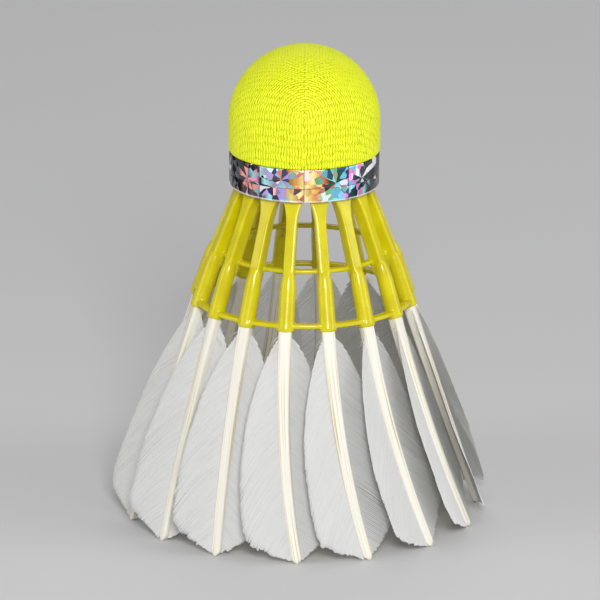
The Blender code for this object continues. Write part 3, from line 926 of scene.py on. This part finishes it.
def loose_barbs(index, side, rng):
    """A few separated barbs above the web, and wisps of down beside the bare quill."""
    steps = 9
    share = np.linspace(0, 1, steps)[None]
    strays = int(rng.integers(0, 3))
    wisps = 12
    count = strays + wisps
    stray = np.arange(count) < strays

    def draw(stray_range, wisp_range):
        return np.where(stray, rng.uniform(*stray_range, count), rng.uniform(*wisp_range, count))

    above = rng.uniform(0.1, 0.6, count)
    root = np.where(stray, VANE_START - above, rng.uniform(0.4, VANE_START + 2.5, count))
    reach = draw((1.4, 2.4), (0.6, 2.0))
    lean = draw((radians(38), radians(50)), (radians(20), radians(80)))
    curl = draw((-0.05, 0.05), (-0.6, 0.6))
    across = shaft_half_width(root)[:, None] * 0.9 + reach[:, None] * share
    fall = reach[:, None] * (share / np.tan(lean)[:, None] + curl[:, None] * share**2 * 0.5)
    drops = np.clip(root[:, None] + fall, 0.1, 12.0)
    half = np.where(stray, 0.05, 0.022)[:, None] * (1.05 - 0.75 * share)
    lift = draw((0.0, 0.2), (-0.4, 0.7))[:, None] * share**1.5
    return ribbons(index, side, drops, across, half, 0.03, 0.0, lift)


# Stage


def look_at(obj, target, roll=0.0):
    direction = Vector(target) - obj.location
    turn = direction.to_track_quat("-Z", "Y").to_matrix().to_4x4()
    obj.matrix_world = Matrix.Translation(obj.location) @ turn @ Matrix.Rotation(roll, 4, "Z")


def add_camera():
    data = bpy.data.cameras.new("camera")
    data.lens = CAMERA_LENS
    data.sensor_width = CAMERA_SENSOR
    data.clip_start = 0.01
    camera = bpy.data.objects.new("camera", data)
    bpy.context.scene.collection.objects.link(camera)
    camera.location = CAMERA_PLACE
    look_at(camera, CAMERA_TARGET, CAMERA_ROLL)
    bpy.context.scene.camera = camera


def add_light(name, place, size, watts):
    data = bpy.data.lights.new(name, "AREA")
    data.shape = "RECTANGLE"
    data.size = size[0]
    data.size_y = size[1]
    data.energy = watts
    light = bpy.data.objects.new(name, data)
    bpy.context.scene.collection.objects.link(light)
    light.location = place
    look_at(light, LIT_POINT)


def add_stage():
    finish, tree, shader = material("floor", (0.66, 0.66, 0.67), 0.7)
    place = coordinates(tree, "Object")
    tone = noise(tree, place, 3.0, 2.0)
    colour = ramp(tree, tone.outputs["Fac"], [(0.3, (0.65, 0.65, 0.66)), (0.7, (0.69, 0.69, 0.70))])
    tree.links.new(colour, shader.inputs["Base Color"])
    half = FLOOR_SIZE / 2
    corners = [(-half, -half, 0), (half, -half, 0), (half, half, 0), (-half, half, 0)]
    floor = mesh_object("floor", corners, [[0, 1, 2, 3]], finish, smooth=False)
    world = bpy.data.worlds.new("studio")
    world.use_nodes = True
    background = world.node_tree.nodes["Background"]
    background.inputs["Color"].default_value = (0.88, 0.88, 0.88, 1.0)
    background.inputs["Strength"].default_value = 0.32
    bpy.context.scene.world = world
    for name, place, size, watts in LIGHTS:
        add_light(name, place, size, watts)
    bpy.context.scene.view_settings.view_transform = "Standard"


def finish_piece(piece, slot, *nodes):
    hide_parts(*nodes)
    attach(piece, "root")


def main():
    add_camera()
    add_stage()
    finish_piece(build_cover(cover_material()), "cover", "head_cover")
    finish_piece(build_band(foil_material()), "foil", "foil_band")
    finish_piece(build_frame(nylon_material()), "frame", "frame")
    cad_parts["head_core"].data.materials.clear()
    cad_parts["head_core"].data.materials.append(cork_material())
    keratin = keratin_material()
    barbs = barb_material()
    for index in range(FEATHERS):
        rng = np.random.default_rng(SEED * 100 + index)
        node_name = f"feather_{index + 1:02d}"
        finish_piece(build_shaft(index, keratin, rng), "shaft", f"{node_name}_shaft")
        finish_piece(build_web(index, 1, barbs, rng), "vane", f"{node_name}_vane_left")
        finish_piece(build_web(index, -1, barbs, rng), "vane", f"{node_name}_vane_right")


main()
